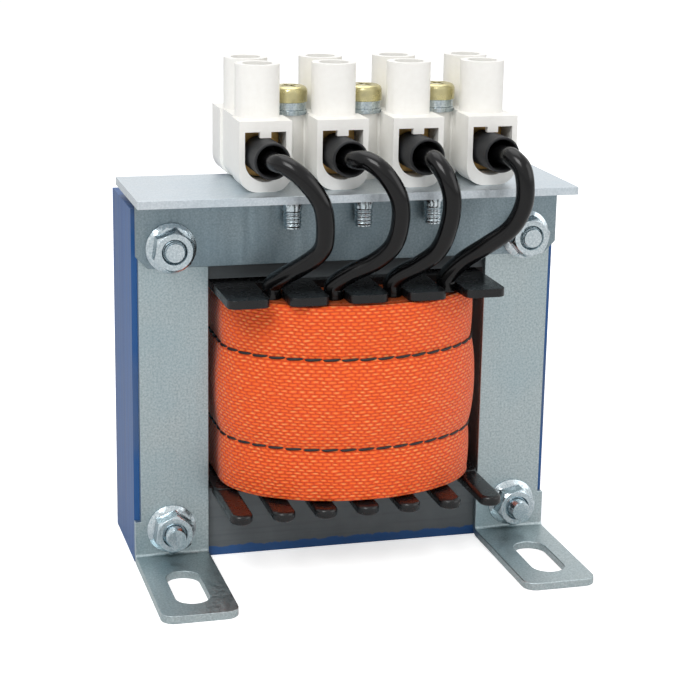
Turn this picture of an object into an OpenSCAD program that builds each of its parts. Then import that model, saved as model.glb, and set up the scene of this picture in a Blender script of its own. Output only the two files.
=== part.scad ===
// Open-frame mains transformer on a laminated EI core: zinc-plated strip
// brackets with slotted feet, a welded terminal shelf with a four-pole
// screw terminal strip, a moulded bobbin and a webbing-wrapped coil.
// Millimetres. +Z up, +X to the right, the terminal side faces -Y.
// The object stands on its core and feet at z = 0.

/* [Core] */
// Width of the core
core_w = 84; // [80:1:92]
// Height of the core
core_h = 70; // [66:1:76]
// Width of the outer legs and of both yokes
leg_w = 14; // [13:0.5:15]
// Width of the centre leg
centre_w = 28; // [26:1:30]
// Depth of the stack of plates
stack_d = 22; // [18:1:30]
// Number of interleaved packets in the stack
packets = 4; // [2:1:6]
// Diameter of the four bolt holes
core_hole_d = 4.5; // [4.3:0.1:5]

/* [Brackets] */
// Thickness of the zinc-plated sheet
sheet_t = 1.5; // [1:0.1:2]
// How far each strip laps over the window
strip_lap = 0.4; // [0:0.1:0.8]
// How much narrower the strip is above its step
strip_inset = 1.1; // [0.6:0.1:1.4]
// Height of the step in the strip's outer edge
step_z = 8.6; // [7:0.1:10]
// Gap between the top of each strip and the top of the core
strip_short = 1; // [0:0.5:3]
// Length of each foot in front of its strip
foot_l = 30; // [26:1:36]
// Inner radius of the bend between strip and foot
bend_r = 0.6; // [0.3:0.1:0.8]
// Corner radius of the foot's free end
foot_corner_r = 2.5; // [1:0.5:4]
// Width of the slot in each foot
slot_w = 6.4; // [5:0.1:7]
// Length of the slot in each foot
slot_l = 16; // [12:0.5:17]
// Distance from the core's front to the middle of the slot
slot_y = 18.4; // [17:0.1:20]
// Clearance round a bolt in a sheet hole
bolt_clear = 0.25; // [0.1:0.05:0.4]

/* [Terminal shelf] */
// Width of the shelf
shelf_w = 85; // [82:1:90]
// Overhang of the shelf in front of the core
shelf_front = 11.2; // [10:0.1:13]
// Reach of the shelf over the core
shelf_back = 14.4; // [12:0.1:17]
// Gap between the core's top and the shelf
shelf_gap = 2; // [0.8:0.1:2.4]
// Height of the hanging flange
flange_h = 12.9; // [12.6:0.1:14]
// Width of the hanging flange
flange_w = 83; // [80:1:84]
// Chamfer on the flange's lower corners
flange_cut = 2.2; // [1:0.1:3]
// Diameter of the threaded studs under the shelf
stud_d = 3.6; // [3.2:0.1:4]
// Length of the studs
stud_l = 5.6; // [4.6:0.1:6.4]
// Offset of the middle stud from the middle of the shelf
stud_x = 1.4; // [0:0.1:3]
// Spacing of the studs
stud_pitch = 13.8; // [12:0.1:15]
// Distance from the core's front to the studs
stud_y = 5.7; // [5.5:0.1:8]
// Diameter of the weld collars round the studs
collar_d = 4.9; // [4.6:0.1:5.2]
// Height of the weld collars
collar_h = 1.4; // [0.8:0.1:1.6]

/* [Core bolts] */
// Diameter of the core bolts
bolt_d = 4; // [3:0.5:4]
// Length of the core bolts under the head
bolt_l = 30; // [30:1:34]
// Width across the flats of nuts and heads
hex_af = 7; // [6.5:0.5:8]
// Diameter of the flange on nuts and heads
hex_flange_d = 9.6; // [9:0.1:9.7]
// Thickness of the flange on nuts and heads
hex_flange_t = 1.1; // [0.8:0.1:1.4]
// Height of the flange nuts
nut_h = 4.3; // [4:0.1:4.6]
// Height of the bolt heads
bolt_head_h = 4; // [3.5:0.1:4.5]

/* [Bobbin] */
// Wall of the bobbin's tube
tube_wall = 1.2; // [1:0.1:1.5]
// Clearance between the centre leg and the tube
tube_clear = 0.3; // [0.2:0.05:0.4]
// Half width of both bobbin flanges
flange_half = 26.8; // [26:0.1:27.4]
// Thickness of the upper flange
top_flange_t = 1.6; // [1.2:0.1:1.8]
// Gap between the upper flange and the yoke
top_gap = 0.5; // [0.3:0.1:0.8]
// Reach of the upper flange beyond the core
top_reach = 16.4; // [15.5:0.1:17.5]
// Thickness of the lower flange
low_flange_t = 1; // [0.8:0.1:1.2]
// Gap between the lower flange and the yoke
low_gap = 0.2; // [0.1:0.05:0.3]
// Reach of the lower flange's plate beyond the core
low_reach = 4; // [3:0.5:6]
// Corner radius of the tabs on the upper flange
tab_r = 1.6; // [1:0.1:2]
// Width of the lead slots in the upper flange
lead_slot_w = 3.7; // [3.6:0.1:4.2]
// How near the lead slots come to the core
lead_slot_end = 2.4; // [2:0.1:3]
// Distance from the middle to the inner lead slots
slot_in_x = 5.7; // [5:0.1:6.5]
// Distance from the middle to the outer lead slots
slot_out_x = 17; // [16.6:0.1:17.4]
// Number of fingers on the lower flange
fingers = 7; // [5:1:7]
// Spacing of the fingers
finger_pitch = 8.2; // [7.6:0.1:8.3]
// Width of each finger
finger_w = 4.4; // [3.6:0.1:4.6]
// Thickness of each finger
finger_t = 2; // [1.6:0.1:2.4]
// How far each finger hangs below the lower flange
finger_drop = 1.2; // [0.8:0.1:1.6]
// Reach of the fingers beyond the core
finger_reach = 19.6; // [18:0.1:21]
// Rounding along the fingers' edges
finger_r = 0.7; // [0.3:0.1:0.7]

/* [Coil] */
// Half width of the wrapped coil
coil_half = 25; // [24:0.1:25.6]
// Bulge of the wrapped coil in front of the core and behind it
coil_bulge = 17.3; // [16:0.1:18]
// Thickness of the webbing
web_t = 1.2; // [0.8:0.1:1.4]
// Clearance of the webbing to what it wraps
web_clear = 0.3; // [0.2:0.05:0.5]
// Radial build of the inner winding in the window
inner_build = 3.6; // [3:0.1:4]
// Thickness of the insulation between the windings
layer_t = 0.4; // [0.2:0.1:0.6]

/* [Terminal strip] */
// Spacing of the poles
pitch = 14.75; // [14.45:0.05:15.2]
// Number of poles
poles = 4; // [4:1:4]
// Offset of the strip from the middle of the shelf
strip_x = 4.4; // [3.8:0.1:5]
// Distance from the core's front to the strip's front face
strip_front = 6.1; // [5.6:0.1:7]
// Width of a pole
pole_w = 9.9; // [9.4:0.1:10.2]
// Depth of the strip
pole_d = 25; // [24:0.5:27]
// Height of a pole's body
pole_h = 13.2; // [12.8:0.1:14]
// Corner radius along the underside of a pole
pole_r = 3.4; // [2.5:0.1:3.8]
// Length of a pole's wide front and back parts
pole_end = 7.4; // [6.5:0.1:8]
// How much the middle of a pole is set in on each side
pole_waist = 0.5; // [0.2:0.1:0.6]
// Height of the bosses between the poles
boss_h = 12.7; // [12:0.1:12.9]
// Diameter of the screw towers
tower_d = 8.4; // [8:0.1:8.6]
// Height of the towers above the strip's underside
tower_h = 23; // [21:0.5:25]
// Distance from the middle of a pole to each tower
tower_y = 5.1; // [4.8:0.1:5.2]
// Diameter of the screw holes in the towers
tower_bore = 5.6; // [5.4:0.1:5.8]
// Width of the wire channel
channel_w = 7.8; // [7.6:0.1:8]
// Height of the wire channel
channel_h = 9.3; // [9.2:0.1:9.6]
// Floor under the wire channel
channel_floor = 1.9; // [1.8:0.1:2.1]
// Height of the wires' axis above the strip's underside
wire_h = 6.5; // [6.3:0.1:6.6]
// Width of the lug at the top of each entry
lug_w = 2.1; // [1.6:0.1:2.4]
// Length of the lug at the top of each entry
lug_h = 1.1; // [0.8:0.1:1.1]
// Thickness of the lug
lug_t = 1.4; // [1:0.1:2]
// Thickness of the web between two poles, front to back
web_d = 3; // [2:0.5:5]

/* [Clamps] */
// Length of each brass clamp
clamp_l = 14; // [13.9:0.1:15]
// Clearance between clamp and channel
clamp_gap = 0.2; // [0.1:0.05:0.3]
// Diameter of the clamp's wire bore
clamp_bore = 4.6; // [4.2:0.1:4.8]
// Diameter of the clamp screws
clamp_screw_d = 3.2; // [3:0.1:3.5]
// Length of the clamp screws' shanks
clamp_screw_l = 6; // [5.8:0.1:6.4]
// Diameter of the clamp screws' heads
clamp_head_d = 5; // [4.6:0.1:5.2]
// Height of the clamp screws' heads
clamp_head_h = 2.2; // [1.8:0.1:2.6]

/* [Fixing screws] */
// Diameter of the fixing screws
fix_d = 3.9; // [3.5:0.1:4]
// How far the fixing screws reach below the shelf
fix_tip = 0.5; // [0.2:0.1:0.7]
// Diameter of the fixing screws' heads
fix_head_d = 7; // [6:0.1:7.2]
// Height of the fixing screws' heads
fix_head_h = 3; // [2.6:0.1:3.4]
// Diameter of the flat and spring washers
washer_d = 6.8; // [6:0.1:7]
// Thickness of the flat washers
flat_washer_t = 0.9; // [0.6:0.1:1]
// Thickness of the spring washers
spring_washer_t = 1.5; // [1:0.1:1.6]
// Clearance of washers and housing round a fixing screw
fix_clear = 0.15; // [0.1:0.05:0.25]
// Depth of the thread grooves
thread_deep = 0.25; // [0.15:0.05:0.35]
// Pitch of the threads
thread_pitch = 0.7; // [0.5:0.1:0.8]

/* [Leads] */
// Diameter of the leads
lead_d = 3.5; // [3.3:0.1:3.6]
// Outer diameter of the lead collars
sleeve_d = 6.8; // [6.6:0.1:6.9]
// Inner diameter of the lead collars
sleeve_bore = 5.8; // [5.6:0.1:6]
// Length of the lead collars
sleeve_l = 10.8; // [9.8:0.1:11.4]
// Floor of the lead collars
sleeve_floor = 1.2; // [1:0.1:1.6]
// Upward tilt of the lead collars
sleeve_tilt = 1; // [0:0.5:2]
// Diameter of the crimped wire ends
pin_d = 2.2; // [1.8:0.1:2.4]
// Length of the crimped wire ends
pin_l = 7; // [6:0.5:8]

/* [Hidden] */
$fn = 48;
eps = 0.01;

// Derived sizes
window_h = core_h - 2 * leg_w;
hole_x = core_w / 2 - leg_w / 2;
hole_z = leg_w / 2;
packet_d = stack_d / packets;
strip_in = core_w / 2 - leg_w - strip_lap;
bolt_hole_r = bolt_d / 2 + bolt_clear;
foot_reach = sheet_t + foot_l;
back_reach = stack_d + finger_reach;
y_mid = (back_reach - foot_reach) / 2;
shelf_z = core_h + shelf_gap;
shelf_top = shelf_z + sheet_t;
top_flange_z = core_h - leg_w - top_gap - top_flange_t;
low_flange_z = leg_w + low_gap;
low_flange_top = low_flange_z + low_flange_t;
tube_x = centre_w / 2 + tube_clear;
tube_y = tube_clear;
wind_x = coil_half - web_t - web_clear;
wind_bulge = coil_bulge - web_t - web_clear;
inner_x = tube_x + tube_wall + inner_build;
inner_bulge = tube_y + tube_wall + inner_build * wind_bulge / (wind_x - tube_x - tube_wall);
strip_y = -strip_front + pole_d / 2;
pole_x = [for (i = [0 : poles - 1]) strip_x + (i - (poles - 1) / 2) * pitch];
gap_x = [for (i = [0 : poles - 2]) strip_x + (i - (poles - 2) / 2) * pitch];
boss_top = shelf_top + boss_h;
spring_z = boss_top + flat_washer_t;
fix_head_z = spring_z + spring_washer_t;
fix_l = fix_head_z - shelf_z + fix_tip;
wire_z = shelf_top + wire_h;
clamp_front = strip_y - clamp_l / 2;
clamp_top = shelf_top + channel_floor + channel_h - clamp_gap;
tip_z = wire_z + pin_d / 2;
wind_top = top_flange_z;

// Lead routes, from the collar's mouth down to the coil's top
route_1 = [[-17.8, -14, 80.4], [-16.4, -16.8, 80.2], [-13.4, -18.6, 77.8],
    [-10.2, -19, 73.2], [-9.3, -18.2, 67.6], [-9.8, -16.6, 64.1], [-12.3, -14.1, 61.2],
    [-15.2, -11.2, 58.6], [-17, -9, 56.6]];
route_2 = [[-3, -14, 80.5], [-1, -16.8, 80.6], [1.5, -18.8, 78.6],
    [4.1, -19.2, 74.4], [4.8, -18.6, 69.9], [4.1, -17, 65.1], [1.5, -14.7, 61.6],
    [-2.7, -12.8, 59], [-5.7, -11.6, 56.6]];
route_3 = [[11.8, -14, 80.4], [12, -16.6, 80], [13.4, -18.8, 77.3],
    [14.4, -19.2, 73.3], [14.2, -18.4, 68.5], [12.9, -16.6, 63.6], [9.8, -14.1, 60.2],
    [7, -12.4, 58.2], [5.7, -11.6, 56.6]];
route_4 = [[26.6, -14, 80.5], [26.9, -16.6, 80.4], [28.2, -18.6, 78.4],
    [28.7, -19, 73.9], [28.1, -18.4, 70.2], [26.4, -17, 66.8], [22.9, -14.8, 63.6],
    [19.4, -12, 60.3], [17, -9.8, 56.8]];

// Half outline of an ellipse, walked from -a to +a on the negative side
function arc_pts(a, b, n = 30) = [for (i = [0 : n])
    [-a * cos(180 * i / n), -b * sin(180 * i / n)]];

// Straight-sided oval: two half ellipses joined by the depth of the core
function oval(a, b) = concat(arc_pts(a, b),
    [for (p = arc_pts(a, b)) [-p[0], stack_d - p[1]]]);

// Sweep helpers
function unit(v) = v / norm(v);
function spline(p, i, t) =
    let (n = len(p) - 1, a = p[max(i - 1, 0)], b = p[i],
        c = p[min(i + 1, n)], d = p[min(i + 2, n)])
    0.5 * (2 * b + (c - a) * t + (2 * a - 5 * b + 4 * c - d) * t * t
        + (3 * b - a - 3 * c + d) * t * t * t);
function halved(p) = concat([for (i = [0 : len(p) - 2])
    each [p[i], spline(p, i, 0.5)]], [p[len(p) - 1]]);
function way(p, i) = unit(p[min(i + 1, len(p) - 1)] - p[max(i - 1, 0)]);
function flat(v, t) = unit(v - (v * t) * t);
function sides(p, i = 0, v = [1, 0, 0]) = i == len(p) ? []
    : let (s = flat(v, way(p, i))) concat([s], sides(p, i + 1, s));
function rings(p, r, m) = let (s = sides(p)) [for (i = [0 : len(p) - 1])
    let (t = way(p, i), u = cross(t, s[i])) for (k = [0 : m - 1])
    p[i] + r * (cos(360 * k / m) * s[i] + sin(360 * k / m) * u)];

module tube_along(p, r, m = 8) {
    n = len(p);
    caps = [[for (k = [0 : m - 1]) k],
        [for (k = [0 : m - 1]) n * m - 1 - k]];
    walls = [for (i = [0 : n - 2], k = [0 : m - 1]) each [
        [i * m + k, (i + 1) * m + k, i * m + (k + 1) % m],
        [i * m + (k + 1) % m, (i + 1) * m + k, (i + 1) * m + (k + 1) % m]]];
    polyhedron(rings(p, r, m), concat(caps, walls));
}

// Moves a piece from the core's front plane to the model's own frame
module place() {
    translate([0, -y_mid, 0]) children();
}

// Extrudes an outline drawn in x and z from y0 to y1
module along_y(y0, y1) {
    translate([0, y1, 0]) rotate([90, 0, 0]) linear_extrude(y1 - y0) children();
}

// Cylinder along +Y from y0 to y1
module rod_y(r, y0, y1) {
    translate([0, y0, 0]) rotate([-90, 0, 0]) cylinder(r = r, h = y1 - y0);
}

module core_holes(y0, y1) {
    for (x = [-hole_x, hole_x], z = [hole_z, core_h - hole_z])
        translate([x, 0, z]) rod_y(core_hole_d / 2, y0, y1);
}

// Plate outlines of the core: E with its yoke at the bottom, I above it
module e_outline() {
    difference() {
        translate([-core_w / 2, 0]) square([core_w, core_h - leg_w]);
        for (s = [-1, 1])
            translate([s * (centre_w / 2 + core_w / 2 - leg_w) / 2, leg_w + window_h / 2 + 1])
                square([core_w / 2 - leg_w - centre_w / 2, window_h + 2], center = true);
    }
}

module i_outline() {
    translate([-core_w / 2, core_h - leg_w]) square([core_w, leg_w]);
}

module packet(k) {
    y0 = k * packet_d;
    difference() {
        along_y(y0, y0 + packet_d)
            if (k % 2 == 0) children();
            else translate([0, core_h]) mirror([0, 1]) children();
        core_holes(y0 - 1, y0 + packet_d + 1);
    }
}

module e_plates() {
    color("steelblue") place()
        for (k = [0 : packets - 1]) packet(k) e_outline();
}

module i_plates() {
    color("royalblue") place()
        for (k = [0 : packets - 1]) packet(k) i_outline();
}

// Strip and foot of one bracket, drawn for the right side
module bracket() {
    r = sheet_t + bend_r;
    strip_top = core_h - strip_short;
    difference() {
        union() {
            difference() {
                translate([strip_in, -sheet_t, r])
                    cube([core_w / 2 - strip_in, sheet_t, strip_top - r]);
                translate([core_w / 2 - strip_inset, -sheet_t - 1, step_z])
                    cube([strip_inset + 1, sheet_t + 2, strip_top]);
            }
            bend(r);
            foot(r);
        }
        for (z = [hole_z, core_h - hole_z])
            translate([hole_x, 0, z]) rod_y(bolt_hole_r, -sheet_t - 1, 1);
    }
}

// Quarter bend: its centre lies in front of the strip and above the foot
module bend(r) {
    translate([strip_in, -r, r]) rotate([90, 0, 90])
        linear_extrude(core_w / 2 - strip_in) intersection() {
            difference() {
                circle(r);
                circle(bend_r);
            }
            translate([0, -r]) square(r);
        }
}

module foot(r) {
    w = core_w / 2 - strip_in;
    c = foot_corner_r;
    difference() {
        translate([strip_in, -foot_reach, 0]) linear_extrude(sheet_t) {
            translate([0, c]) square([w, foot_reach - c - r]);
            translate([c, 0]) square([w - 2 * c, c + 1]);
            for (x = [c, w - c]) translate([x, c]) circle(c);
        }
        translate([hole_x, -slot_y, -1]) linear_extrude(sheet_t + 2) {
            square([slot_w, slot_l - slot_w], center = true);
            for (s = [-1, 1])
                translate([0, s * (slot_l - slot_w) / 2]) circle(slot_w / 2);
        }
    }
}

module right_bracket() {
    color("lightsteelblue") place() bracket();
}

module left_bracket() {
    color("lightsteelblue") place() mirror([1, 0, 0]) bracket();
}

module shelf_plate() {
    color("silver") place() difference() {
        translate([-shelf_w / 2, -shelf_front, shelf_z])
            cube([shelf_w, shelf_front + shelf_back, sheet_t]);
        for (x = gap_x) translate([x, strip_y, shelf_z - 1])
            cylinder(d = fix_d, h = sheet_t + 2);
    }
}

module shelf_flange() {
    w = flange_w / 2;
    h = flange_h;
    c = flange_cut;
    color("lightgray") place() difference() {
        translate([0, 0, shelf_z - flange_h]) along_y(-2 * sheet_t, -sheet_t)
            polygon([[-w, h], [-w, c], [-w + c, 0], [w - c, 0], [w, c], [w, h]]);
        for (x = [-hole_x, hole_x]) translate([x, 0, core_h - hole_z])
            rod_y(bolt_hole_r, -2 * sheet_t - 1, 0);
    }
}

// Turned profile of a rod of radius r and length l with ring grooves over its
// last g millimetres, tip at the far end
function grooved(r, l, g) =
    let (n = max(floor(g / thread_pitch), 1), s = thread_pitch)
    concat([[0, 0], [r, 0]],
        [for (i = [n - 1 : -1 : 0]) each [[r, l - (i + 1) * s],
            [r - thread_deep, l - (i + 0.5) * s]]],
        [[r - thread_deep, l], [0, l]]);

// Threaded studs welded under the shelf, each with its cone of weld metal
module shelf_studs() {
    color("slategray") place() for (i = [-1 : 1])
        translate([stud_x + i * stud_pitch, -stud_y, shelf_z]) mirror([0, 0, 1]) {
            cylinder(d1 = collar_d, d2 = stud_d, h = collar_h);
            rotate_extrude() polygon(grooved(stud_d / 2, stud_l, stud_l - collar_h));
        }
}

// Hex flange head or nut body standing on z = 0
module hex_body(h) {
    cylinder(d = hex_flange_d, h = hex_flange_t * 0.5);
    translate([0, 0, hex_flange_t * 0.5])
        cylinder(d1 = hex_flange_d, d2 = hex_af + 0.8, h = hex_flange_t * 0.5);
    intersection() {
        cylinder(d = hex_af / cos(30), h = h, $fn = 6);
        rotate_extrude() polygon([[0, 0], [hex_af / 2 + 0.6, 0],
            [hex_af / 2 + 0.6, h - 0.7], [hex_af / 2 - 0.1, h], [0, h]]);
    }
}

module core_bolts() {
    color("gainsboro") place()
        for (x = [-hole_x, hole_x], z = [hole_z, core_h - hole_z])
            translate([x, stack_d, z]) {
                rotate([90, 0, 0]) rotate_extrude()
                    polygon(grooved(bolt_d / 2, bolt_l, 6.3));
                rotate([-90, 0, 0]) hex_body(bolt_head_h);
            }
}

module flange_nuts() {
    color("gainsboro") place()
        for (x = [-hole_x, hole_x], t = [[hole_z, 1], [core_h - hole_z, 2]])
            translate([x, -sheet_t * t[1], t[0]]) rotate([90, 0, 0]) difference() {
                rotate([0, 0, x > 0 ? 12 : 22]) hex_body(nut_h);
                translate([0, 0, -1]) cylinder(d = bolt_d, h = nut_h + 2);
                translate([0, 0, nut_h - 0.45])
                    cylinder(d1 = bolt_d, d2 = bolt_d + 0.9, h = 0.46);
            }
}

// Rounded plate reaching b in front of the core and behind it
module round_plate(a, b, c) {
    hull_w = a - c;
    translate([-a, -b + c]) square([2 * a, stack_d + 2 * (b - c)]);
    translate([-hull_w, -b]) square([2 * hull_w, stack_d + 2 * b]);
    for (x = [-hull_w, hull_w], y = [-b + c, stack_d + b - c])
        translate([x, y]) circle(c);
}

// Lead slot with rounded mouth, opening towards -Y
module lead_slot() {
    w = lead_slot_w;
    translate([-w / 2, -top_reach - 1]) square([w, top_reach + 1 - lead_slot_end]);
    difference() {
        translate([-w / 2 - tab_r, -top_reach - 1]) square([w + 2 * tab_r, tab_r + 1]);
        for (s = [-1, 1])
            translate([s * (w / 2 + tab_r), -top_reach + tab_r]) circle(tab_r);
    }
}

module both_ends() {
    children();
    translate([0, stack_d]) mirror([0, 1]) children();
}

module bobbin() {
    tube_top = top_flange_z + top_flange_t;
    xo = tube_x + tube_wall;
    yo = tube_y + tube_wall;
    color("#202022") place() difference() {
        union() {
            translate([-xo, -yo, low_flange_z])
                cube([2 * xo, stack_d + 2 * yo, tube_top - low_flange_z]);
            translate([0, 0, low_flange_z]) linear_extrude(low_flange_t)
                round_plate(flange_half, low_reach, tab_r);
            translate([0, 0, top_flange_z]) linear_extrude(top_flange_t)
                difference() {
                    round_plate(flange_half, top_reach, tab_r);
                    both_ends() for (x = [slot_in_x, slot_out_x], s = [-1, 1])
                        translate([s * x, 0]) lead_slot();
                }
            for (i = [0 : fingers - 1]) finger((i - (fingers - 1) / 2) * finger_pitch);
        }
        translate([-tube_x, -tube_y, 0])
            cube([2 * tube_x, stack_d + 2 * tube_y, core_h]);
    }
}

// Section across a finger, standing on the axis
module finger_section() {
    w = finger_w / 2 - finger_r;
    translate([-w, 0]) square([2 * w, finger_t]);
    translate([-finger_w / 2, finger_r]) square([finger_w, finger_t - 2 * finger_r]);
    for (x = [-w, w], z = [finger_r, finger_t - finger_r])
        translate([x, z]) circle(finger_r);
}

// One finger in front of the core and its twin behind, with rounded ends
module finger(x) {
    tip = finger_reach - finger_w / 2;
    translate([x, 0, low_flange_z - finger_drop]) {
        along_y(-tip, -tube_y) finger_section();
        along_y(stack_d + tube_y, stack_d + tip) finger_section();
        for (y = [-tip, stack_d + tip]) translate([0, y, 0]) rotate_extrude()
            intersection() {
                finger_section();
                square([finger_w, finger_t]);
            }
    }
}

// Closed band round the coil between two ovals or round the tube
module band(a, b, z0, z1) {
    translate([0, 0, z0]) linear_extrude(z1 - z0) difference() {
        polygon(oval(a, b));
        children();
    }
}

module tube_hole() {
    xo = tube_x + tube_wall;
    yo = tube_y + tube_wall;
    translate([-xo, -yo]) square([2 * xo, stack_d + 2 * yo]);
}

module inner_winding() {
    color("peru") place() band(inner_x, inner_bulge, low_flange_top, wind_top)
        tube_hole();
}

module layer_insulation() {
    color("khaki") place()
        band(inner_x + layer_t, inner_bulge + layer_t, low_flange_top, wind_top)
            polygon(oval(inner_x, inner_bulge));
}

module outer_winding() {
    color("chocolate") place()
        band(wind_x, wind_bulge, low_flange_top, wind_top)
            polygon(oval(inner_x + layer_t, inner_bulge + layer_t));
}

module webbing_wrap() {
    color("orangered") place()
        band(coil_half, coil_bulge, low_flange_top + web_clear, wind_top - web_clear)
            polygon(oval(coil_half - web_t, coil_bulge - web_t));
}

// Outline of a pole in x and z: square shoulders, rounded underside
module pole_outline(w, h, r) {
    translate([-w / 2, r]) square([w, h - r]);
    translate([-w / 2 + r, 0]) square([w - 2 * r, r + 1]);
    for (s = [-1, 1]) translate([s * (w / 2 - r), r]) circle(r);
}

module channel_outline(w, h) {
    translate([-w / 2, w / 2]) square([w, h - w / 2]);
    translate([0, w / 2]) circle(w / 2);
}

module pole() {
    d = pole_d / 2;
    difference() {
        union() {
            along_y(-d, -d + pole_end) pole_outline(pole_w, pole_h, pole_r);
            along_y(d - pole_end, d) pole_outline(pole_w, pole_h, pole_r);
            along_y(-d + 1, d - 1)
                pole_outline(pole_w - 2 * pole_waist, pole_h, pole_r);
            for (s = [-1, 1]) translate([0, s * tower_y, pole_h - 1])
                cylinder(d = tower_d, h = tower_h - pole_h + 1);
        }
        difference() {
            translate([0, 0, channel_floor]) along_y(-d - 1, d + 1)
                channel_outline(channel_w, channel_h);
            for (s = [-1, 1])
                translate([-lug_w / 2, s * (d - lug_t / 2) - lug_t / 2,
                    channel_floor + channel_h - lug_h])
                    cube([lug_w, lug_t, lug_h + 1]);
        }
        for (s = [-1, 1]) translate([0, s * tower_y, channel_floor + channel_h - 1])
            cylinder(d = tower_bore, h = tower_h);
    }
}

module terminal_housing() {
    boss_r = (pitch - pole_w) / 2 + pole_waist;
    color("ivory") place() difference() {
        union() {
            for (x = pole_x) translate([x, strip_y, shelf_top]) pole();
            for (x = gap_x) translate([x, strip_y, shelf_top]) {
                cylinder(r = boss_r, h = boss_h);
                translate([-boss_r - 1, -web_d / 2, 0])
                    cube([2 * boss_r + 2, web_d, boss_h]);
            }
        }
        for (x = pole_x) translate([x, strip_y, shelf_top + channel_floor])
            along_y(-web_d, web_d) channel_outline(channel_w, channel_h);
        for (x = gap_x) translate([x, strip_y, shelf_top]) {
            translate([0, 0, -1]) cylinder(d = fix_d + 2 * fix_clear, h = pole_h + 2);
            translate([0, 0, boss_h]) cylinder(d = washer_d + 2 * fix_clear, h = pole_h);
        }
    }
}

module clamp_bodies() {
    w = channel_w - 2 * clamp_gap;
    z0 = shelf_top + channel_floor + clamp_gap;
    color("goldenrod") place() for (x = pole_x) translate([x, strip_y, 0])
        difference() {
            translate([0, 0, z0]) along_y(-clamp_l / 2, clamp_l / 2)
                pole_outline(w, clamp_top - z0, w / 2 - clamp_gap);
            translate([0, 0, wire_z])
                rod_y(clamp_bore / 2, -clamp_l / 2 - 1, clamp_l / 2 + 1);
            for (s = [-1, 1]) translate([0, s * tower_y, wire_z])
                cylinder(d = clamp_screw_d, h = channel_h);
        }
}

module clamp_screws() {
    color("silver") place() for (x = pole_x, s = [-1, 1])
        translate([x, strip_y + s * tower_y, tip_z + eps]) difference() {
            union() {
                cylinder(d = clamp_screw_d, h = clamp_screw_l + eps);
                translate([0, 0, clamp_screw_l])
                    cylinder(d = clamp_head_d, h = clamp_head_h);
            }
            translate([-clamp_head_d, -0.4, clamp_screw_l + clamp_head_h - 1])
                cube([2 * clamp_head_d, 0.8, 2]);
        }
}

module fixing_screws() {
    r = fix_head_d / 2;
    h = fix_head_h;
    c = 1.1;
    color("goldenrod") place() for (x = gap_x) translate([x, strip_y, fix_head_z]) {
        mirror([0, 0, 1]) rotate_extrude() polygon(grooved(fix_d / 2, fix_l, 7));
        difference() {
            rotate_extrude() union() {
                square([r, h - c]);
                square([r - c, h]);
                translate([r - c, h - c]) intersection() {
                    circle(c);
                    square(c);
                }
            }
            for (a = [25, 115]) rotate([0, 0, a])
                translate([-r * 0.6, -0.4, h - 1.3]) cube([r * 1.2, 0.8, 2]);
        }
    }
}

module ring(d, hole, h) {
    difference() {
        cylinder(d = d, h = h);
        translate([0, 0, -1]) cylinder(d = hole, h = h + 2);
    }
}

module flat_washers() {
    color("lightsteelblue") place() for (x = gap_x)
        translate([x, strip_y, boss_top])
            ring(washer_d, fix_d + 2 * fix_clear, flat_washer_t);
}

module spring_washers() {
    color("lightsteelblue") place() for (x = gap_x)
        translate([x, strip_y, spring_z]) difference() {
            ring(washer_d - 0.3, fix_d + 2 * fix_clear, spring_washer_t);
            rotate([0, 0, 200]) translate([0, 0, spring_washer_t / 2])
                rotate([35, 0, 0]) translate([0, -0.15, -3]) cube([washer_d, 0.3, 6]);
        }
}

// Puts a piece on the tilted axis of a lead's collar, +Z towards the mouth
module on_axis(x) {
    translate([x, clamp_front, wire_z]) rotate([90 - sleeve_tilt, 0, 0]) children();
}

module lead_collars() {
    color("dimgray") place() for (x = pole_x) on_axis(x) difference() {
        translate([0, 0, 0.6]) cylinder(d = sleeve_d, h = sleeve_l);
        translate([0, 0, 0.6 + sleeve_floor]) cylinder(d = sleeve_bore, h = sleeve_l);
        translate([0, 0, -1]) cylinder(d = pin_d, h = 4);
    }
}

module lead_pins() {
    color("silver") place() for (x = pole_x) on_axis(x)
        translate([0, 0, 0.6 + sleeve_floor - pin_l]) cylinder(d = pin_d, h = pin_l);
}

// Whole route of a lead: out of its collar, along its points, into its slot
function axis_pt(x, s) = [x, clamp_front - s * cos(sleeve_tilt), wire_z + s * sin(sleeve_tilt)];
function lead_way(i, route) = concat(
    [axis_pt(pole_x[i], 0.6 + sleeve_floor), axis_pt(pole_x[i], sleeve_l * 0.6)],
    halved(route), [[route[8][0], route[8][1] + 0.2, wind_top + 1], 
    [route[8][0], route[8][1] + 0.2, wind_top]]);

module lead_1() {
    color("#18181a") place() tube_along(lead_way(0, route_1), lead_d / 2);
}

module lead_2() {
    color("#18181a") place() tube_along(lead_way(1, route_2), lead_d / 2);
}

module lead_3() {
    color("#18181a") place() tube_along(lead_way(2, route_3), lead_d / 2);
}

module lead_4() {
    color("#18181a") place() tube_along(lead_way(3, route_4), lead_d / 2);
}

e_plates();
i_plates();
left_bracket();
right_bracket();
shelf_plate();
shelf_flange();
shelf_studs();
core_bolts();
flange_nuts();
bobbin();
inner_winding();
layer_insulation();
outer_winding();
webbing_wrap();
terminal_housing();
clamp_bodies();
clamp_screws();
fixing_screws();
spring_washers();
flat_washers();
lead_collars();
lead_pins();
lead_1();
lead_2();
lead_3();
lead_4();
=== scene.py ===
# %% [markdown]
# # Dressing an open-frame transformer
#
# The CAD model gives every piece its true size and place. This notebook adds what the eye
# looks for: zinc plate with its mottle, painted plate edges, glossy leads, woven webbing with
# its stitching, and a moulded terminal strip with soft edges. Each step says what the piece
# is on the real transformer and why it is made the way it is.

# %% Load the frame
import math

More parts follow.
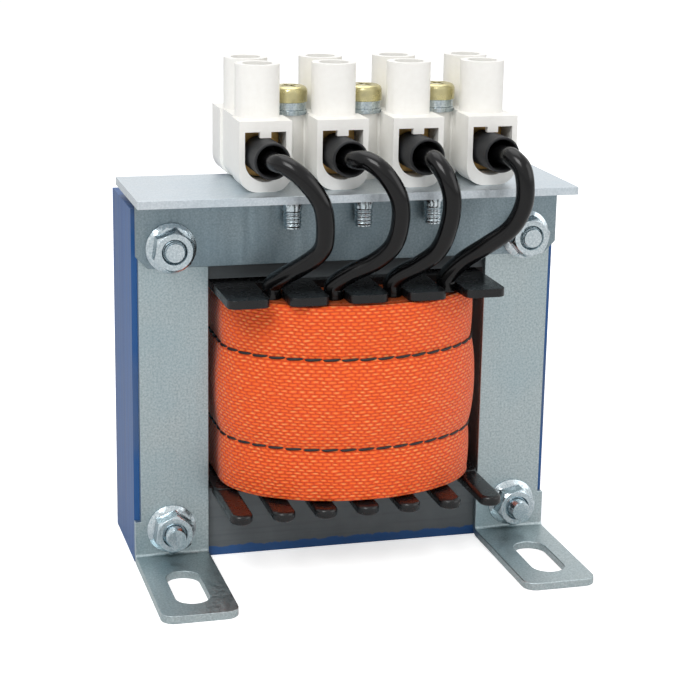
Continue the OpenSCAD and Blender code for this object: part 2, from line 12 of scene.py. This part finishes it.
import bmesh
import bpy
import numpy as np
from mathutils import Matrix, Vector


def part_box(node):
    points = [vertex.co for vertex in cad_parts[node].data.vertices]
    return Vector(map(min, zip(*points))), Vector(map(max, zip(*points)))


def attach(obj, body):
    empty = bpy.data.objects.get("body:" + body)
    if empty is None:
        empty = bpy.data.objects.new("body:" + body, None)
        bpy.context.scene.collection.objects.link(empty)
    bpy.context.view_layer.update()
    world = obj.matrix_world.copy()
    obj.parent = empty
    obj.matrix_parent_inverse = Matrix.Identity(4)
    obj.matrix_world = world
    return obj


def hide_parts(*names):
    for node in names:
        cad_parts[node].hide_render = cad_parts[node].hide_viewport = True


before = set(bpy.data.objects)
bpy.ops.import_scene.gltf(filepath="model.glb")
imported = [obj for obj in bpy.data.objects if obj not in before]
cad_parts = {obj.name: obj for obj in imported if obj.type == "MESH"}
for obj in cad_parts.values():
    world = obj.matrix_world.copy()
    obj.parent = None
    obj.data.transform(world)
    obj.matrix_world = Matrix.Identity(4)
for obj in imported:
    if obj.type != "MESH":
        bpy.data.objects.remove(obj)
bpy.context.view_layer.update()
MM = 0.001

# %% [markdown]
# The core's front face is the plane that everything is measured from. `spot` turns
# millimetres from that plane, with z from the bench, into metres in the shared frame.

# %% Places in the frame
core_low, core_high = (np.array(corner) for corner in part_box("e_plates"))
FRONT = core_low[1]
STACK = (core_high[1] - FRONT) / MM


def spot(points):
    """Millimetres from the core's front face become metres: scale, then shift along Y."""
    return np.asarray(points, dtype=float) * MM + np.array([0.0, FRONT, 0.0])


print("stack depth:", round(STACK, 2), "mm")

# %% [markdown]
# ## Camera
#
# A long lens from the front left, a little above the shelf. The camera's three axes come
# from its azimuth, height angle and roll, so the view can be read off these few numbers.

# %% Camera
AZIMUTH, ELEVATION, ROLL = math.radians(-15.6), math.radians(15.26), math.radians(1.04)
DISTANCE, TARGET = 369.2, (-0.17, 0.0, 41.54)
FOCAL_WIDTHS = 2.7407


def camera_matrix():
    """Axes: back points from the target to the lens, right lies level, up completes them,
    and both are then rolled about the view."""
    back = np.array([
        math.sin(AZIMUTH) * math.cos(ELEVATION),
        -math.cos(AZIMUTH) * math.cos(ELEVATION),
        math.sin(ELEVATION)])
    right = np.cross([0.0, 0.0, 1.0], back)
    right /= np.linalg.norm(right)
    up = np.cross(back, right)
    x_axis = math.cos(ROLL) * right + math.sin(ROLL) * up
    y_axis = math.cos(ROLL) * up - math.sin(ROLL) * right
    matrix = np.eye(4)
    matrix[:3, :3] = np.stack([x_axis, y_axis, back], axis=1)
    matrix[:3, 3] = spot(np.array(TARGET) + back * DISTANCE)
    return matrix


camera = bpy.data.objects.new("camera", bpy.data.cameras.new("camera"))
bpy.context.collection.objects.link(camera)
camera.data.sensor_width = 36.0
camera.data.lens = FOCAL_WIDTHS * camera.data.sensor_width
camera.data.clip_start, camera.data.clip_end = 0.01, 20.0
camera.matrix_world = [list(row) for row in camera_matrix().T]
bpy.context.scene.camera = camera
print("camera at", tuple(round(v, 3) for v in camera.location))

# %% [markdown]
# ## Mesh helpers
#
# A swept shape is a grid of points: one row for each step along a path, one column for each
# step round the section. `grid_faces` joins such a grid with quads, closed round the section
# and, for a ring, along the path too.

# %% Mesh helpers
def link(name, verts, faces, smooth=True):
    """A new object at the origin from arrays of points and of corner numbers."""
    mesh = bpy.data.meshes.new(name)
    mesh.from_pydata(np.asarray(verts).tolist(), [], [list(f) for f in faces])
    mesh.polygons.foreach_set("use_smooth", np.full(len(mesh.polygons), smooth))
    mesh.update()
    piece = bpy.data.objects.new(name, mesh)
    bpy.context.collection.objects.link(piece)
    return piece


def grid_faces(rows, columns, close_rows=False):
    """Quads between neighbours on a rows by columns grid, numbered row by row. The last
    column always joins the first; the last row does if the rows close too."""
    i = np.arange(rows if close_rows else rows - 1)[:, None]
    j = np.arange(columns)[None, :]
    low, high = i * columns, (i + 1) % rows * columns
    here, there = j, (j + 1) % columns
    quads = np.stack(np.broadcast_arrays(low + here, low + there, high + there, high + here), -1)
    return quads.reshape(-1, 4)


def spline(points, steps):
    """A smooth curve through all points: on each span, a cubic whose end slopes are half the
    step from the point before to the point after."""
    p = np.vstack([2 * points[0] - points[1], points, 2 * points[-1] - points[-2]])
    t = np.linspace(0.0, 1.0, steps, endpoint=False)[None, :, None]
    a, b, c, d = (p[k:len(p) - 3 + k][:, None, :] for k in range(4))
    curve = 0.5 * (2 * b + (c - a) * t + (2 * a - 5 * b + 4 * c - d) * t ** 2
                   + (3 * b - a - 3 * c + d) * t ** 3)
    return np.vstack([curve.reshape(-1, 3), points[-1]])


def unit(vectors):
    """Each vector divided by its own length."""
    return vectors / np.linalg.norm(vectors, axis=-1, keepdims=True)


def tube(name, path, radius, sides=24):
    """A round tube: at each point of the path, a ring of radius r in the plane square to the
    path, point k at angle 2 pi k / sides, with a fan of faces over each end."""
    along = unit(np.gradient(path, axis=0))
    side = unit(np.array([1.0, 0.0, 0.0]) - along * along[:, :1])
    other = np.cross(along, side)
    angle = np.linspace(0.0, 2 * np.pi, sides, endpoint=False)
    rings = path[:, None, :] + radius * (
        np.cos(angle)[None, :, None] * side[:, None, :]
        + np.sin(angle)[None, :, None] * other[:, None, :])
    verts = np.vstack([rings.reshape(-1, 3), path[:1], path[-1:]])
    last = (len(path) - 1) * sides
    k = np.arange(sides)
    near = np.stack([np.full(sides, len(verts) - 2), (k + 1) % sides, k], 1)
    far = np.stack([np.full(sides, len(verts) - 1), last + k, last + (k + 1) % sides], 1)
    faces = grid_faces(len(path), sides).tolist() + near.tolist() + far.tolist()
    return link(name, verts, faces)


print("helpers ready")

# %% [markdown]
# ## Leads
#
# Four insulated wires leave the terminal strip, bow out in front of the shelf and go back
# into the coil through slots in the bobbin. Their routes are the model's own: points in
# millimetres with a smooth curve through them.

# %% Leads
LEAD_D = 3.5
POLE_X = (-17.725, -2.975, 11.775, 26.525)
CLAMP_FRONT, WIRE_Z, TILT = -0.6, 80, math.radians(1)
COIL_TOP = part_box("outer_winding")[1][2] / MM
ROUTES = (
    [(-17.8, -14, 80.4), (-16.4, -16.8, 80.2), (-13.4, -18.6, 77.8), (-10.2, -19, 73.2),
     (-9.3, -18.2, 67.6), (-9.8, -16.6, 64.1), (-12.3, -14.1, 61.2), (-15.2, -11.2, 58.6),
     (-17, -9, 56.6)],
    [(-3, -14, 80.5), (-1, -16.8, 80.6), (1.5, -18.8, 78.6), (4.1, -19.2, 74.4),
     (4.8, -18.6, 69.9), (4.1, -17, 65.1), (1.5, -14.7, 61.6), (-2.7, -12.8, 59),
     (-5.7, -11.6, 56.6)],
    [(11.8, -14, 80.4), (12, -16.6, 80), (13.4, -18.8, 77.3), (14.4, -19.2, 73.3),
     (14.2, -18.4, 68.5), (12.9, -16.6, 63.6), (9.8, -14.1, 60.2), (7, -12.4, 58.2),
     (5.7, -11.6, 56.6)],
    [(26.6, -14, 80.5), (26.9, -16.6, 80.4), (28.2, -18.6, 78.4), (28.7, -19, 73.9),
     (28.1, -18.4, 70.2), (26.4, -17, 66.8), (22.9, -14.8, 63.6), (19.4, -12, 60.3),
     (17, -9.8, 56.8)],
)


def collar_point(x, distance):
    """A point on a collar's axis: forward and slightly up from the front of the clamp."""
    return (x, CLAMP_FRONT - distance * math.cos(TILT), WIRE_Z + distance * math.sin(TILT))


def make_lead(number, x, route):
    """The whole wire, from its crimped end inside the collar to the top of the coil."""
    end_x, end_y, _ = route[-1]
    stops = [collar_point(x, 1.8), collar_point(x, 6.5), *route,
             (end_x, end_y + 0.2, COIL_TOP + 1), (end_x, end_y + 0.2, COIL_TOP)]
    path = spline(spot(stops), 8)
    lead = tube(f"lead_{number}_insulation", path, LEAD_D / 2 * MM)
    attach(lead, "root")
    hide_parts(f"lead_{number}")
    return lead


leads = [make_lead(n + 1, POLE_X[n], ROUTES[n]) for n in range(4)]

# %% [markdown]
# ## Materials
#
# A finish is a principled shader with a few nodes behind it. The small class below keeps
# each finish readable: every method adds one node and returns the socket that it feeds on.

# %% Material helper
def tone(code):
    """A web colour such as 'ff8800' as linear light, the way a shader wants it."""
    part = [int(code[k:k + 2], 16) / 255 for k in (0, 2, 4)]
    return tuple(v / 12.92 if v < 0.04 else ((v + 0.055) / 1.055) ** 2.4 for v in part) + (1.0,)


class Finish:
    """A material in the making: a principled shader and short ways to add nodes to it."""

    def __init__(self, name, **sockets):
        self.material = bpy.data.materials.new(name)
        self.material.use_nodes = True
        self.tree = self.material.node_tree
        self.shader = self.tree.nodes["Principled BSDF"]
        for key, value in sockets.items():
            self.shader.inputs[key.replace("_", " ")].default_value = value

    def feed(self, target, value):
        """Sets a socket to a number or colour, or links it to another node's socket."""
        if isinstance(value, bpy.types.NodeSocket):
            self.tree.links.new(value, target)
        else:
            target.default_value = value

    def add(self, kind, output, inputs, **options):
        """One node with its options and inputs; the socket it gives is returned."""
        node = self.tree.nodes.new(kind)
        for key, value in options.items():
            setattr(node, key, value)
        for key, value in inputs.items():
            self.feed(node.inputs[key], value)
        return node.outputs[output]

    def place(self, kind="Object"):
        return self.add("ShaderNodeTexCoord", kind, {})

    def scaled(self, vector, scale):
        return self.add("ShaderNodeMapping", "Vector", {"Vector": vector, "Scale": scale})

    def noise(self, vector, scale, detail=3.0, roughness=0.5):
        return self.add("ShaderNodeTexNoise", "Fac", {
            "Vector": vector, "Scale": scale, "Detail": detail, "Roughness": roughness})

    def sums(self, kind, a, b=0.0, c=0.0):
        return self.add("ShaderNodeMath", "Value", {0: a, 1: b, 2: c}, operation=kind)

    def fit(self, value, low, high, to_low=0.0, to_high=1.0):
        return self.add("ShaderNodeMapRange", "Result", {
            "Value": value, "From Min": low, "From Max": high,
            "To Min": to_low, "To Max": to_high})

    def blend(self, amount, a, b, kind="MIX"):
        node = self.tree.nodes.new("ShaderNodeMix")
        node.data_type, node.blend_type = "RGBA", kind
        for socket, value in zip((node.inputs[0], node.inputs[6], node.inputs[7]), (amount, a, b)):
            self.feed(socket, value)
        return node.outputs[2]

    def bump(self, height, distance, strength):
        return self.add("ShaderNodeBump", "Normal", {
            "Height": height, "Distance": distance, "Strength": strength})

    def parts(self, vector):
        node = self.tree.nodes.new("ShaderNodeSeparateXYZ")
        self.feed(node.inputs[0], vector)
        return node.outputs

    def wear(self, **sockets):
        """Feeds the shader's own sockets and gives the finished material."""
        for key, value in sockets.items():
            self.feed(self.shader.inputs[key.replace("_", " ")], value)
        return self.material


def paint(objects, finish):
    """The only material on each of these objects."""
    for item in objects:
        item.data.materials.clear()
        item.data.materials.append(finish)


print("material helper ready")

# %% [markdown]
# ### Zinc plate
#
# Bright zinc on thin sheet shows a fine crystal mottle, brushed streaks left by rolling and a
# faint blue cast that shifts over a few centimetres. Two noises of different size drive the
# colour, and a stretched one roughens the gloss along the streaks. The flange lies in the
# shelf's shade and the shelf catches the light, so each has its own pair of tones.

# %% Zinc plate
def zinc(name, light="b9c4c6", shade="97a4a7", tint="8fa9b3", roughness=0.4):
    f = Finish(name, Metallic=1.0)
    p = f.place()
    mottle = f.noise(p, 2600.0, 3.0, 0.6)
    clouds = f.noise(p, 55.0, 2.0)
    streak = f.noise(f.scaled(p, (900.0, 900.0, 60.0)), 1.0, 2.0)
    colour = f.blend(f.fit(mottle, 0.35, 0.68), tone(shade), tone(light))
    colour = f.blend(f.fit(clouds, 0.48, 0.72, 0.0, 0.35), colour, tone(tint))
    gloss = f.fit(streak, 0.3, 0.7, roughness - 0.07, roughness + 0.1)
    return f.wear(Base_Color=colour, Roughness=gloss,
                  Normal=f.bump(f.sums("ADD", mottle, streak), 0.00002, 0.5))


zinc_sheet = zinc("zinc_sheet")
zinc_hardware = zinc("zinc_hardware", "d3dbde", "a9b6bc", "7f9fae", 0.22)
zinc_flange = zinc("zinc_flange", "8f9ca1", "76858c", "6d8592", 0.42)
zinc_shelf = zinc("zinc_shelf", "d2d9de", "bfc8ce", "b3c4cf", 0.4)
print("zinc finishes ready")

# %% [markdown]
# ### Core plates
#
# The plates are varnished gray and their edges are brushed with blue paint once the stack is
# bolted up, so the blue wraps a little over the front face. The position on the core says
# which of the two a point wears, with a ragged border from a noise. A noise stretched along
# the plates draws the thin pale lines where the paint has missed an edge.

# %% Core finish
PAINT_LAP, RAGGED, PLATE = 1.6 * MM, 0.4 * MM, 0.5 * MM


def core_finish():
    """Paint where the nearest outer edge of the core is closer than the lap; one shade of
    blue for each plate, found from the depth divided by the plate's thickness."""
    f = Finish("core_finish")
    p = f.place()
    x, y, z = f.parts(p)
    half_w, top = float(core_high[0]), float(core_high[2])
    ragged = f.fit(f.noise(p, 700.0, 3.0), 0.2, 0.8, -RAGGED, RAGGED)
    edge_x = f.sums("SUBTRACT", half_w, f.sums("ABSOLUTE", x))
    edge_z = f.sums("MINIMUM", z, f.sums("SUBTRACT", top, z))
    edge = f.sums("ADD", f.sums("MINIMUM", edge_x, edge_z), ragged)
    painted = f.fit(edge, PAINT_LAP, PAINT_LAP + 0.3 * MM, 1.0, 0.0)
    plate = f.sums("FLOOR", f.sums("DIVIDE", f.sums("SUBTRACT", y, float(FRONT)), PLATE))
    shade = f.add("ShaderNodeTexWhiteNoise", "Value", {"W": plate}, noise_dimensions="1D")
    blue = f.blend(shade, tone("10457e"), tone("1f5a98"))
    streaks = f.noise(f.scaled(p, (1.0, 2600.0, 25.0)), 1.0, 3.0)
    blue = f.blend(f.fit(streaks, 0.5, 0.66, 0.0, 0.7), blue, tone("56647e"))
    gray = f.blend(f.noise(p, 260.0, 5.0), tone("555b5e"), tone("676d70"))
    gray = f.blend(f.fit(f.noise(f.scaled(p, (60.0, 60.0, 1500.0)), 1.0), 0.5, 0.7, 0.0, 0.3),
                   gray, tone("4a5054"))
    grain = f.sums("ADD", f.noise(p, 1800.0, 3.0), shade)
    return f.wear(Base_Color=f.blend(painted, gray, blue), Roughness=0.5,
                  Normal=f.bump(grain, 0.00003, 0.6))


print("core finish ready")

# %% [markdown]
# ### Mouldings, leads and small metal parts
#
# Each is one tone that drifts to a close one with a noise, which keeps large plain faces from
# looking flat. Black insulation and mouldings get a low specular level, so that they stay
# black under a white room and still take a crisp highlight.

# %% Plastics and metals
def plastic(name, colour, other, roughness, scale=500.0, lumps=0.00001, **sockets):
    """Moulded plastic: two close colours mixed by a noise, and a faint grain."""
    f = Finish(name, **sockets)
    grain = f.noise(f.place(), scale, 3.0)
    return f.wear(Base_Color=f.blend(grain, tone(colour), tone(other)),
                  Roughness=f.fit(grain, 0.3, 0.7, roughness - 0.05, roughness + 0.05),
                  Normal=f.bump(grain, lumps, 0.5))


black_moulding = plastic("black_moulding", "0c0d0e", "141517", 0.28, Specular_IOR_Level=0.35)
black_lead = plastic("black_lead", "040405", "09090a", 0.2, 300.0, Specular_IOR_Level=0.3)
white_moulding = plastic("white_moulding", "f3f1ec", "fbfaf6", 0.38, 900.0)
gray_collar = plastic("gray_collar", "1b1c1e", "2b2c2e", 0.6, 2500.0, 0.00003,
                      Specular_IOR_Level=0.3)
magnet_wire = plastic("magnet_wire", "8a3a16", "a5522a", 0.3)
insulation_film = plastic("insulation_film", "c9b77a", "d6c78d", 0.4)


def metal(name, colour, other, roughness, scale=700.0):
    """Bare or plated metal: two tones mixed by a fine noise."""
    f = Finish(name, Metallic=1.0)
    grain = f.noise(f.place(), scale, 4.0)
    return f.wear(Base_Color=f.blend(f.fit(grain, 0.3, 0.7), tone(colour), tone(other)),
                  Roughness=f.fit(grain, 0.3, 0.7, roughness - 0.06, roughness + 0.1),
                  Normal=f.bump(grain, 0.00001, 0.5))


yellow_zinc = metal("yellow_zinc", "d9cf9a", "b7b089", 0.28, 420.0)
clamp_brass = metal("clamp_brass", "c9a468", "a88650", 0.35)
print("plastics and metals ready")

# %% [markdown]
# ## Softened copies
#
# Real sheet, mouldings and nuts have no knife edges. The CAD node's triangles are merged into
# clean faces on a copy, a narrow bevel rounds every edge sharper than a given angle, and the
# copy stands for the node.

# %% Softened copies
def softened(node, finish, width, angle=32.0, segments=3):
    """A copy of a CAD node with its flat triangles joined and its edges rounded."""
    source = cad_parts[node]
    mesh = source.data.copy()
    work = bmesh.new()
    work.from_mesh(mesh)
    bmesh.ops.remove_doubles(work, verts=work.verts, dist=1e-6)
    bmesh.ops.dissolve_limit(work, angle_limit=math.radians(1.0), verts=work.verts,
                             edges=work.edges)
    work.to_mesh(mesh)
    work.free()
    piece = bpy.data.objects.new(node + "_finished", mesh)
    bpy.context.collection.objects.link(piece)
    mesh.shade_smooth()
    mesh.set_sharp_from_angle(angle=math.radians(angle))
    bevel = piece.modifiers.new("edges", "BEVEL")
    bevel.width, bevel.segments = width * MM, segments
    bevel.limit_method, bevel.angle_limit = "ANGLE", math.radians(angle)
    bevel.harden_normals = True
    bevel.use_clamp_overlap = True
    paint([piece], finish)
    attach(piece, "root")
    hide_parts(node)
    print(piece.name, len(mesh.polygons), "faces")
    return piece


for node in ("left_bracket", "right_bracket"):
    softened(node, zinc_sheet, 0.2)
softened("shelf_plate", zinc_shelf, 0.2)
softened("shelf_flange", zinc_flange, 0.2)
for node in ("shelf_studs", "core_bolts", "flange_nuts", "flat_washers", "spring_washers",
             "clamp_screws"):
    softened(node, zinc_hardware, 0.1, segments=2)
softened("fixing_screws", yellow_zinc, 0.08, segments=2)
softened("bobbin", black_moulding, 0.3)
softened("terminal_housing", white_moulding, 0.45)
softened("lead_collars", gray_collar, 0.25)

# %% [markdown]
# ## Webbing
#
# A broad woven tape is drawn round the coil and stitched through twice, so it swells between
# the seams, and a corded roll finishes its lower and upper edges. The whole band is one
# closed section carried round a straight-sided oval. Its UV map counts millimetres round the
# coil and up it, which is what the weave needs.

# %% Webbing shape
web_low, web_high = (np.array(corner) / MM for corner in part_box("webbing_wrap"))
WEB_A, WEB_B = web_high[0], (web_high[1] - web_low[1] - STACK) / 2
SEAMS = (25.8, 43.4)
EDGE_ROLL = 0.55
SWELLS = (0.5, 1.2, 0.35)


def oval(a, b, count):
    """Evenly spaced points and outward normals on two half ellipses, a wide and b deep,
    joined by straight sides as long as the stack is deep."""
    turn = np.linspace(0.0, np.pi, 600)
    front = np.stack([-a * np.cos(turn), -b * np.sin(turn)], 1)
    rear = np.stack([a * np.cos(turn), STACK + b * np.sin(turn)], 1)
    raw = np.vstack([front, rear, front[:1]])
    run = np.concatenate([[0.0], np.cumsum(np.linalg.norm(np.diff(raw, axis=0), axis=1))])
    s = np.linspace(0.0, run[-1], count, endpoint=False)
    points = np.stack([np.interp(s, run, raw[:, 0]), np.interp(s, run, raw[:, 1])], 1)
    along = unit(np.roll(points, -1, axis=0) - np.roll(points, 1, axis=0))
    return points, np.stack([along[:, 1], -along[:, 0]], 1), s, run[-1]


def swell(z):
    """How far the tape stands out at height z: a half wave between seams, none at a seam."""
    stops = np.array([web_low[2], *SEAMS, web_high[2]])
    band = np.clip(np.searchsorted(stops, z) - 1, 0, 2)
    share = (z - stops[band]) / (stops[band + 1] - stops[band])
    tall = np.array(SWELLS)[band]
    return tall * np.sqrt(np.clip(np.sin(np.pi * share), 0.0, 1.0))


def web_section():
    """Closed section of the tape: up the outside, over the top roll, down the inside and
    round the bottom roll, as distance out from the oval and height."""
    z0, z1 = web_low[2], web_high[2]
    outer = np.linspace(z0 + 2 * EDGE_ROLL, z1 - 2 * EDGE_ROLL, 100)
    bend = np.linspace(0.0, np.pi, 12)[1:-1]
    wide, high = 1.3 * EDGE_ROLL * np.cos(bend), EDGE_ROLL * np.sin(bend)
    top = np.stack([wide - EDGE_ROLL, z1 - EDGE_ROLL + high], 1)
    low = np.stack([-EDGE_ROLL - wide, z0 + EDGE_ROLL - high], 1)
    up = np.stack([swell(outer) - 0.25, outer], 1)
    down = np.stack([np.full(6, -1.1), np.linspace(z1 - EDGE_ROLL, z0 + EDGE_ROLL, 6)], 1)
    return np.vstack([up, top, down, low])


def make_webbing(columns=420):
    """The section carried round the oval, one column of points at each step."""
    points, normals, s, around = oval(WEB_A, WEB_B, columns)
    section = web_section()
    flat = points[:, None, :] + normals[:, None, :] * section[None, :, :1]
    height = np.broadcast_to(section[None, :, 1:], flat.shape[:2] + (1,))
    verts = spot(np.concatenate([flat, height], -1).reshape(-1, 3))
    faces = grid_faces(columns, len(section), close_rows=True)
    piece = link("webbing", verts, faces)
    layer = piece.data.uv_layers.new(name="tape")
    corner = faces.reshape(-1)
    column, row = corner // len(section), corner % len(section)
    wrapped = np.where((column == 0) & (np.repeat(faces[:, 3], 4) < len(section)), around, 0.0)
    uv = np.stack([s[column] + wrapped, section[row, 1]], 1)
    layer.data.foreach_set("uv", uv.ravel())
    print("webbing", len(faces), "faces, round the coil", round(around, 1), "mm")
    return piece


webbing = make_webbing()

# %% [markdown]
# ### Weave
#
# Plain weave shows rows of short floats, each a small pillow of yarn. The weave is worked out
# from the tape's own millimetres, so it follows the cloth round the coil.

# %% Webbing finish
FLOAT_L, FLOAT_H = 1.6, 0.65


def webbing_finish():
    """Every other row of floats is shifted by half a float. Across a float, u and v run from
    -1/2 to 1/2 and its height is (1 - 4 u u)(1 - 4 v v). Its colour is painted shade, darker
    towards the gaps between floats, with a painted highlight on the top of each float."""
    f = Finish("orange_webbing", Sheen_Weight=0.25, Sheen_Roughness=0.4)
    u, v, _ = f.parts(f.place("UV"))
    wander = f.fit(f.noise(f.place("UV"), 0.35, 2.0), 0.0, 1.0, -0.5, 0.5)
    row = f.sums("ADD", f.sums("DIVIDE", v, FLOAT_H), wander)
    number = f.sums("FLOOR", row)
    shift = f.sums("MULTIPLY", f.sums("FLOORED_MODULO", number, 2.0), 0.5)
    column = f.sums("ADD", f.sums("ADD", f.sums("DIVIDE", u, FLOAT_L), shift), wander)
    across = f.sums("SUBTRACT", f.sums("FRACT", column), 0.5)
    up = f.sums("SUBTRACT", f.sums("FRACT", row), 0.5)
    pillow_u = f.sums("MULTIPLY_ADD", f.sums("MULTIPLY", across, across), -4.0, 1.0)
    pillow_v = f.sums("MULTIPLY_ADD", f.sums("MULTIPLY", up, up), -4.0, 1.0)
    pillow = f.sums("MULTIPLY", pillow_u, pillow_v)
    cell = f.add("ShaderNodeCombineXYZ", "Vector", {
        "X": f.sums("FLOOR", column), "Y": number})
    chance = f.add("ShaderNodeTexWhiteNoise", "Value", {"Vector": cell}, noise_dimensions="2D")
    fibre = f.noise(f.scaled(f.place("UV"), (1.2, 8.0, 1.0)), 1.0, 4.0)
    # Painted shade: the orange turns deeper red towards the gaps between floats, where shade
    # falls.
    colour = f.blend(f.fit(pillow, 0.0, 0.6), tone("e03c00"), tone("ff6400"))
    # Painted highlight: pale orange on the top of each float, stronger on some floats than others.
    painted_crown_highlight = f.sums("MULTIPLY", f.fit(pillow, 0.6, 0.95), f.fit(chance, 0.15, 0.9, 0.15, 1.0))
    colour = f.blend(f.sums("MULTIPLY", painted_crown_highlight, 0.85), colour, tone("ffa45c"))
    colour = f.blend(f.fit(fibre, 0.5, 0.75, 0.0, 0.35), colour, tone("f04a00"))
    height = f.sums("ADD", pillow, f.sums("MULTIPLY", fibre, 0.4))
    return f.wear(Base_Color=colour, Roughness=0.62, Normal=f.bump(height, 0.00022, 0.9))


paint([webbing], webbing_finish())
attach(webbing, "root")
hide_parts("webbing_wrap")

# %% [markdown]
# ### Stitching
#
# Black thread runs through the tape in two seams. Each stitch is a short bent thread that
# dips into the cloth at both ends, so the seams read as dashes.

# %% Stitches
STITCH, THREAD = 3.45, 0.27


def make_stitches(name, z, rings=9, sides=8):
    """All stitches of one seam at once: along each stitch the thread follows the oval, sinks
    by the square of the distance from its middle, and thins towards its ends."""
    points, normals, s, around = oval(WEB_A, WEB_B, 2400)
    count = int(around / STITCH)
    pitch = around / count
    share = np.linspace(-1.0, 1.0, rings)
    at = (np.arange(count)[:, None] + 0.5 + 0.485 * share[None, :]) * pitch
    place = [np.interp(at, s, points[:, k], period=around) for k in (0, 1)]
    out = unit(np.stack([np.interp(at, s, normals[:, k], period=around) for k in (0, 1)], -1))
    angle = np.linspace(0.0, 2 * np.pi, sides, endpoint=False)
    thick = THREAD * np.sqrt(1.0 - 0.85 * share ** 4)
    sink = 0.02 - 0.28 * share ** 4
    away = sink[:, None] + thick[:, None] * np.cos(angle)[None, :]
    rise = thick[:, None] * np.sin(angle)[None, :]
    slant = 0.12 * share[None, :, None]
    x = place[0][..., None] + out[..., 0:1] * away[None]
    y = place[1][..., None] + out[..., 1:2] * away[None]
    height = np.broadcast_to(z + rise[None] + slant, x.shape)
    verts = spot(np.stack([x, y, height], -1).reshape(-1, 3))
    one = grid_faces(rings, sides)
    each = np.arange(count)[:, None, None] * rings * sides
    faces = (one[None] + each).reshape(-1, 4).tolist()
    ends = np.arange(sides)
    first = (each[:, 0] + ends[::-1]).tolist()
    final = (each[:, 0] + (rings - 1) * sides + ends).tolist()
    piece = link(name, verts, faces + first + final)
    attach(piece, "root")
    print(name, count, "stitches of", round(pitch, 2), "mm")
    return piece


seams = [make_stitches("lower_seam", SEAMS[0]), make_stitches("upper_seam", SEAMS[1])]

# %% [markdown]
# ### The rest of the nodes
#
# The core, the windings and the small hidden pieces keep the CAD model's own mesh and only
# get their finish.

# %% Thread and the rest of the nodes
thread = plastic("thread", "06080a", "101418", 0.55, 3000.0, 0.00002)
paint(seams, thread)
paint(leads, black_lead)
paint([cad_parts[n] for n in ("e_plates", "i_plates")], core_finish())
paint([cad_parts[n] for n in ("inner_winding", "outer_winding")], magnet_wire)
paint([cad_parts["layer_insulation"]], insulation_film)
paint([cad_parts["clamp_bodies"]], clamp_brass)
paint([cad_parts["lead_pins"]], zinc_hardware)
print("every node has its finish")

# %% [markdown]
# ## Stage and light
#
# A white bench and three soft lamps. The bench adds a little of its own light where the
# camera sees it, so it reads as plain white and still holds the transformer's shadow.

# %% Bench
def make_bench():
    """A wide flat sheet under the feet."""
    size = 3.0
    bench = link("bench", [(-size, -size, 0), (size, -size, 0), (size, size, 0),
                           (-size, size, 0)], [(0, 1, 2, 3)], smooth=False)
    bench.location.z = -0.00005
    f = Finish("bench_white", Roughness=0.9)
    f.shader.inputs["Base Color"].default_value = (0.86, 0.86, 0.86, 1.0)
    glow = f.add("ShaderNodeEmission", "Emission", {"Strength": 0.6})
    plain = f.add("ShaderNodeAddShader", "Shader", {0: f.shader.outputs[0], 1: glow})
    seen = f.add("ShaderNodeLightPath", "Is Camera Ray", {})
    final = f.add("ShaderNodeMixShader", "Shader", {
        0: seen, 1: f.shader.outputs[0], 2: plain})
    f.feed(f.tree.nodes["Material Output"].inputs["Surface"], final)
    paint([bench], f.material)


make_bench()
print("bench ready")

# %% [markdown]
# ### Lamps
#
# A key from the left front, a weaker fill from the right and one lamp overhead. The room is
# white to the camera and in reflections, and dimmer as a light, so that shadows keep depth.

# %% Lamps and world
AMBIENT, WHITE = 0.42, 1.0


def lamp(name, place, aim, size, watts, colour=(1.0, 1.0, 1.0)):
    """A square soft lamp at a point in metres, turned so that it looks at another."""
    data = bpy.data.lights.new(name, "AREA")
    data.size, data.energy, data.color = size, watts, colour
    item = bpy.data.objects.new(name, data)
    bpy.context.collection.objects.link(item)
    back = unit(np.array(place) - np.array(aim))
    right = unit(np.cross([0.0, 0.0, 1.0], back))
    matrix = np.eye(4)
    matrix[:3, :3] = np.stack([right, np.cross(back, right), back], 1)
    matrix[:3, 3] = place
    item.matrix_world = [list(row) for row in matrix.T]


MIDDLE = (0.0, 0.0, 0.045)
lamp("key", (-0.35, -0.45, 0.6), MIDDLE, 0.35, 3.0)
lamp("fill", (0.6, -0.35, 0.35), MIDDLE, 0.5, 1.2)
lamp("top", (0.05, 0.15, 0.8), MIDDLE, 0.6, 2.0)

world = bpy.data.worlds.new("studio")
bpy.context.scene.world = world
world.use_nodes = True
nodes, links = world.node_tree.nodes, world.node_tree.links
path_kind = nodes.new("ShaderNodeLightPath")
seen = nodes.new("ShaderNodeMath")
seen.operation = "MAXIMUM"
links.new(path_kind.outputs["Is Camera Ray"], seen.inputs[0])
links.new(path_kind.outputs["Is Glossy Ray"], seen.inputs[1])
level = nodes.new("ShaderNodeMapRange")
level.inputs["To Min"].default_value = AMBIENT
level.inputs["To Max"].default_value = WHITE
links.new(seen.outputs[0], level.inputs["Value"])
links.new(level.outputs[0], nodes["Background"].inputs["Strength"])
nodes["Background"].inputs["Color"].default_value = (1.0, 1.0, 1.0, 1.0)
bpy.context.scene.view_settings.view_transform = "Standard"
print("lamps and world ready")
